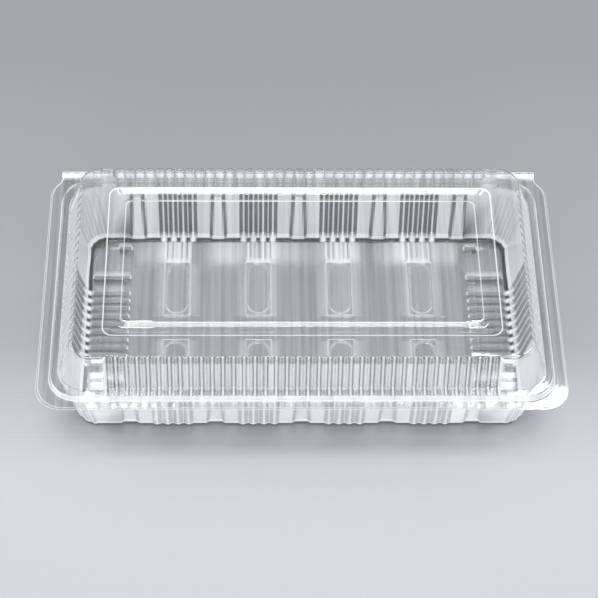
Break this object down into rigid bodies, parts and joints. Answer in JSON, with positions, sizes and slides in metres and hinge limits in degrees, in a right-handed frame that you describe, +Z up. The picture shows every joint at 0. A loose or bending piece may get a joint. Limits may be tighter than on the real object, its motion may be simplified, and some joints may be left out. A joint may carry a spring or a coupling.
{
  "type": "plastic clamshell pack",
  "caption": "Clear thermoformed food pack: a deep ribbed tray and a fluted lid joined by one fold along the rear, closed by a snap ridge.",
  "frame": {"origin": "centre of the tray's underside, on the surface it stands on", "axes": "+X along the long side, +Y towards the hinge, +Z up"},
  "size_m": [0.24, 0.1436, 0.0508],
  "materials": {
    "clear_sheet": "gloss"
  },
  "bodies": {
    "tray": {"tray": "clear_sheet"},
    "lid": {"lid": "clear_sheet"}
  },
  "joints": [
    {"name": "lid_hinge", "type": "hinge", "parent": "tray", "child": "lid", "pos_m": [0, 0.07335, 0.03015], "axis": [-1, 0, 0], "range_deg": [0, 180]}
  ]
}
